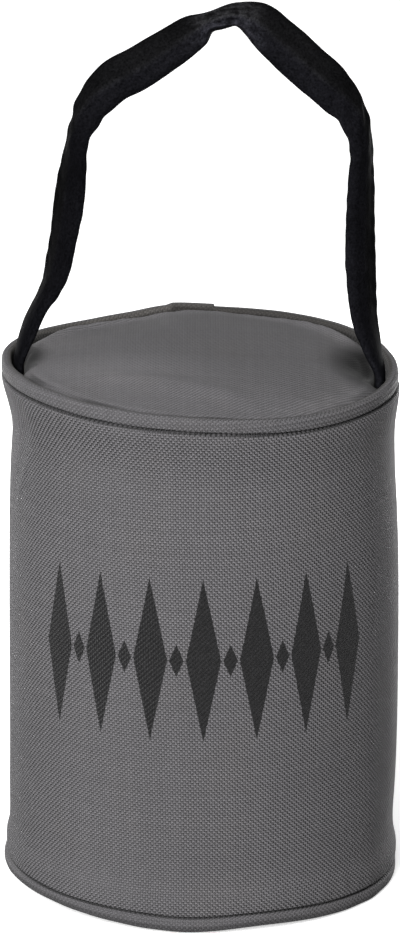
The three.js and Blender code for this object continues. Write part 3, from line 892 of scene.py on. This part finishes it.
def grey_cloth(name, drum_cloth, relief=1.0, brightness=1.0):
    """Plain weave at its real scale: upright and level threads of two tones that pass over each other in turn,
    with painted shade between them. On the drum it also has the print, the flanges' pressed folds, the wrong
    side inside the rim, and painted shade in the topstitching's furrow; the panels have painted shading."""
    n = Nodes(name)
    x, y = n.map("weave")
    column, row = n.math("FLOOR", x), n.math("FLOOR", y)
    fx, fy = n.minus(n.math("FRACT", x), 0.5), n.minus(n.math("FRACT", y), 0.5)
    level = n.math("MODULO", n.plus(column, row), 2)  # 1 where the level thread is on top
    fx, fy = n.linear(fy, -SLANT, fx), n.linear(fx, -SLANT, fy)
    across, down = n.mix(level, fx, fy), n.mix(level, fy, fx)
    flank = n.math("POWER", n.math("ABSOLUTE", n.times(across, THREAD_WIDE)), THREAD_ROUND)
    body = n.math("SQRT", n.math("MAXIMUM", 0, n.minus(1, flank)))
    height = n.times(body, n.linear(n.math("COSINE", n.times(down, THREAD_ARCH)), 0.7, 0.3))

    # no two threads are quite alike in tone, and each is lighter and darker along its length
    upright = n.node("TexWhiteNoise", {"W": column}, noise_dimensions="1D").outputs["Value"]
    sideways = n.node("TexWhiteNoise", {"W": n.plus(row, 1000)}, noise_dimensions="1D").outputs["Value"]
    own = n.linear(n.mix(level, upright, sideways), 0.14, 0.93)
    slub = n.linear(n.noise(420), 0.26, 0.87)
    cloud = n.linear(n.noise(28, 3, 0.55), 0.16, 0.92)
    calm = 0 if drum_cloth else 0.72  # the panels' cloth is drawn tight, and its weave shows less
    middle = WARP_TONE * 0.5 + WEFT_TONE * 0.5
    warp, weft = [(t + (middle - t) * calm) * brightness for t in (WARP_TONE, WEFT_TONE)]
    tone = n.mix(level, warp, weft)
    # painted shade between the threads, fainter on the panels
    depth = n.ramp(height, *DEEP, GAP_SHADE + (0.9 - GAP_SHADE) * calm, 1.0 - 0.07 * calm)
    if drum_cloth:
        # painted shade between the threads is deeper on the left of the front and fainter on its right, as the
        # light falls, so the weave shows more on the left; its relief is gentler on the right
        arc, up = n.map("place")
        deeper = n.ramp(height, *DEEP, GAP_SHADE - 0.13, 1.04)
        fainter = n.mix(n.ramp(arc, 10 * MM, 50 * MM), depth, n.ramp(height, *DEEP, GAP_SHADE + 0.11, 0.91))
        depth = n.mix(n.ramp(arc, -50 * MM, 5 * MM), deeper, fainter)
        relief = n.times(n.ramp(arc, -10 * MM, 50 * MM, 1.0, 0.82), relief)
        # painted shade: the wall a little darker towards the foot and lighter towards the rim, as the light
        # falls
        tone = n.times(tone, n.ramp(up, 30 * MM, 130 * MM, 0.95, 1.04))
        over, seam = n.map("hem")
        flange_cloth = n.ramp(seam, 0.2 * MM, 1.2 * MM)  # there the cloth is folded and pressed flat
        depth = n.mix(n.times(flange_cloth, 0.35), depth, 0.88)
        tone = n.times(tone, n.mix(flange_cloth, 1.0, 0.79))
    tone = n.times(n.times(tone, depth), n.times(own, n.times(slub, cloud)))
    tint = n.mix_colours(n.ramp(n.noise(45, 2, 0.5), 0.45, 0.75, 0.0, 0.5), CLOTH_TINT, WARM_TINT)
    rough = n.linear(height, -0.1, 0.95)
    if drum_cloth:
        # painted shade in the furrow of the topstitching, darker at the needle's holes and towards the sides,
        # as the light falls
        prick = n.math("COSINE", n.times(arc, 2 * math.pi / (STITCH * MM)))
        near = n.ramp(n.math("ABSOLUTE", seam), 0.75 * MM, 1.4 * MM, 1.0, 0.0)
        aside = n.math("ABSOLUTE", n.math("SINE", n.math("DIVIDE", arc, CLOTH_RADIUS * MM)))
        dark = n.linear(prick, 0.16, n.linear(aside, 0.24, 0.58))
        tone = n.times(tone, n.minus(1, n.times(near, dark)))
        # the wrong side inside the rim, with painted shade that deepens further down and towards the right,
        # and painted shade along the foot's lower edge
        inside = n.ramp(over, 2.5 * MM, 3.4 * MM)
        deep = n.ramp(over, 4.4 * MM, 6.2 * MM, 1.0, 0.4)
        foot = n.times(n.ramp(over, -0.9 * MM, 0.2 * MM), n.ramp(up, 8 * MM, 12 * MM, 1.0, 0.0))
        tint = n.mix_colours(inside, tint, WRONG_SIDE)
        tone = n.times(tone, n.mix(inside, 1.0, n.ramp(arc, -60 * MM, 60 * MM, 1.05, 0.6)))
        tone = n.times(tone, n.times(deep, n.linear(foot, -0.45, 1)))
        relief = n.mix(inside, n.mix(flange_cloth, relief, 0.4), 0.3)
    else:
        # painted shade down in the groove beside the rim, and the painted shading: darker beside the strap's
        # ends and over the far right, paler on the back's rolled edge and at the front left
        groove, painted_shading = n.map("hem")
        shade = n.ramp(n.noise(40, 1, 0.5), 0.38, 0.6, 0.85, 0.42)
        tone = n.times(tone, n.mix(n.ramp(groove, 3.5 * MM, 4.5 * MM), shade, 1.0))
        tone = n.times(tone, n.minus(1, painted_shading))
        relief = n.mix(n.ramp(painted_shading, 0.2, 0.6), relief, relief * 0.2)
    colour = n.mix_colours(1.0, n.colour(tone, tone, tone), tint, "MULTIPLY")
    if drum_cloth:
        ink = printed(n, n.times(arc, 1 / MM), n.times(up, 1 / MM))
        wear = n.ramp(n.noise(1100), 0.30, 0.62, 0.92, 1.0)
        colour = n.mix_colours(n.times(ink, wear), colour, INK)
        rough = n.mix(ink, rough, 0.78)
    n.constants({"Sheen Weight": 0.06, "Sheen Roughness": 0.5, "Specular IOR Level": 0.25})

    # the threads' own roundness: the face's direction follows each thread's side and arch
    half = n.times(relief, 0.25)
    east = n.times(n.times(fx, n.mix(level, ROUND_SLOPE, ARCH_SLOPE)), half)
    north = n.times(n.times(fy, n.mix(level, ARCH_SLOPE, ROUND_SLOPE)), half)
    code = n.colour(n.plus(east, 0.5), n.plus(north, 0.5), 0.75)
    face = n.node("NormalMap", {"Color": code}, space="TANGENT", uv_map="weave").outputs["Normal"]
    return n.finish(colour, rough, n.noise(2600), 0.25, 0.1 * MM, face)


def black_velour():
    """Short black nap with brushed patches, and painted light: painted highlights along the crease and the two
    edges, a painted sheen that makes the inner half a little lighter and bluer, a gathered middle lighter with
    dust and with painted highlight on its folds, and painted shade down its arms, most on the left."""
    n = Nodes("black_velour")
    at = n.node("SeparateXYZ", {"Vector": n.place()}).outputs
    patch = n.noise(60, 3, 0.6)
    nap = n.noise(1250, 3, 0.7)
    round_it, _ = n.map("nap")
    # painted sheen: the inner half a little lighter, and bluer below
    inner = n.ramp(round_it, (CREASE_RUN - 0.5) * MM, (CREASE_RUN + 0.8) * MM)
    tone = n.plus(n.ramp(patch, 0.3, 0.7, 0.0040, 0.0064), n.times(inner, 0.0016))

    # painted highlights along the crease and the two edges, in patches
    highlight_patches = n.ramp(n.noise(190, 2, 0.5), 0.35, 0.65, 0.25, 1.0)
    crease = n.ramp(n.between(round_it, CREASE_RUN * MM), 0.1 * MM, 0.7 * MM, 1.0, 0.0)
    half_round = (STRAP_WIDTH + STRAP_THICK) * MM
    beside = n.between(n.math("MODULO", n.plus(round_it, half_round / 2), half_round), half_round / 2)
    edge = n.ramp(beside, 0.4 * MM, 1.6 * MM, 1.0, 0.0)
    tone = n.plus(tone, n.times(highlight_patches, n.plus(n.times(crease, 0.0045), n.times(edge, 0.0020))))

    # lighter where it is gathered: dust, and painted highlight on its folds
    gathered = n.ramp(n.between(at["X"], GATHER_AT * MM), 5 * MM, 16 * MM, 1.0, 0.0)
    dust_and_highlight = n.times(gathered, n.ramp(n.noise(260, 3, 0.6), 0.35, 0.65))
    tone = n.plus(tone, n.times(dust_and_highlight, 0.022))
    tone = n.times(tone, n.math("MAXIMUM", 0.15, n.linear(nap, 3.6, -0.8)))
    # painted shade down the arms, most on the left
    low = n.ramp(at["X"], 0, 30 * MM, 0.62, 0.95)
    tone = n.times(tone, n.mix(n.ramp(at["Z"], 262 * MM, 288 * MM), low, 1.0))
    colour = n.colour(tone, tone, n.times(tone, n.linear(inner, 0.16, 1.08)))
    n.constants({"Sheen Weight": 0.009, "Sheen Roughness": 0.45, "Sheen Tint": (0.55, 0.55, 0.62, 1),
                 "Specular IOR Level": 0.004})
    return n.finish(colour, 0.9, n.plus(nap, patch), 0.35, 0.25 * MM)


def dark_thread():
    n = Nodes("dark_thread")
    tone = n.ramp(n.noise(1800), 0.3, 0.7, 0.012, 0.03)
    return n.finish(n.colour(tone, tone, tone), 0.7, tone, 0.3, 0.05 * MM)


# ---- the pieces in place

drum = make_side_panel()
drum.data.materials.append(grey_cloth("grey_weave_printed", True))
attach(drum, "root")
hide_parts("side_panel")

# brightness 0.97: painted shade, the panels' cloth a shade darker than the drum's for the light that falls on
# the top
plain = grey_cloth("grey_weave", False, relief=0.22, brightness=0.97)
top = make_top_panel()
top.data.materials.append(plain)
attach(top, "root")
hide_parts("top_panel")

base = make_base_panel()
base.data.materials.append(plain)
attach(base, "root")
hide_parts("base_panel")

strap = make_strap()
strap.data.materials.append(black_velour())
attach(strap, "root")
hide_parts("handle")
strap.visible_shadow = False  # the real light is so wide that the strap's shadow doesn't show

thread = make_topstitching()
thread.data.materials.append(dark_thread())
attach(thread, "root")

# ---- floor, light and camera

FLOOR = 12000  # half its side
corners = [(x * FLOOR, y * FLOOR, 0) for x, y in ((-1, -1), (1, -1), (1, 1), (-1, 1))]
floor = make_object("floor", corners, [(0, 1, 2, 3)])
pale = Nodes("pale_floor")  # a table that is lit from inside
pale.constants({"Base Color": (0.98, 0.98, 0.98, 1), "Roughness": 0.9, "Emission Color": (1, 1, 1, 1),
                "Emission Strength": 0.52})
floor.data.materials.append(pale.material)
floor.visible_diffuse = False  # so that the bright floor doesn't light the object from below

world = bpy.data.worlds.new("studio")
scene.world = world
world.use_nodes = True
background = world.node_tree.nodes["Background"].inputs
background["Color"].default_value = (1, 1, 1, 1)
background["Strength"].default_value = 0.08
scene.view_settings.view_transform = "Standard"
scene.view_settings.look = "None"


def light(name, kind, power, azimuth, elevation=0):
    """A lamp that shines on the object; azimuth is from the front, positive to the right."""
    data = bpy.data.lights.new(name, kind)
    data.energy = power
    lamp = bpy.data.objects.new(name, data)
    lamp.rotation_euler = (math.radians(90 - elevation), 0, math.radians(azimuth))
    scene.collection.objects.link(lamp)
    return lamp, data


def sun(name, azimuth, elevation, strength, spread):
    """A soft light from far away; spread is its width."""
    light(name, "SUN", strength, azimuth, elevation)[1].angle = math.radians(spread)


SWEEP_AWAY, SWEEP_HIGH = 0.7, 0.08  # in metres, like its size
SWEEP_SIZE = (0.22, 0.12)


def low_panel(name, azimuth, power):
    """A soft light standing low behind the object, like the pale sweep of a studio, that rims its sides."""
    lamp, data = light(name, "AREA", power, azimuth)
    data.shape = "RECTANGLE"
    data.size, data.size_y = SWEEP_SIZE
    turn = math.radians(azimuth)
    lamp.location = (SWEEP_AWAY * math.sin(turn), -SWEEP_AWAY * math.cos(turn), SWEEP_HIGH)
    lamp.visible_camera = False


sun("key", -15, 27, 4.55, 24)
sun("side", -100, 22, 0.35, 50)
low_panel("sweep on the left", -152, 2.8)
low_panel("sweep on the right", 153, 5.2)

AIM_HEIGHT = 151.6
DISTANCE = 3000
LOOKING_DOWN = math.radians(17.46)
FOCAL = 9.03644  # focal length, for each unit of the picture's height
SENSOR = 36
optics = bpy.data.cameras.new("camera")
optics.sensor_width = SENSOR
optics.lens = FOCAL * SENSOR
optics.clip_end = 50  # metres
camera = bpy.data.objects.new("camera", optics)
camera.location = (0, -DISTANCE * math.cos(LOOKING_DOWN) * MM,
                   (AIM_HEIGHT + DISTANCE * math.sin(LOOKING_DOWN)) * MM)
camera.rotation_euler = (math.pi / 2 - LOOKING_DOWN, 0, 0)
scene.collection.objects.link(camera)
scene.camera = camera
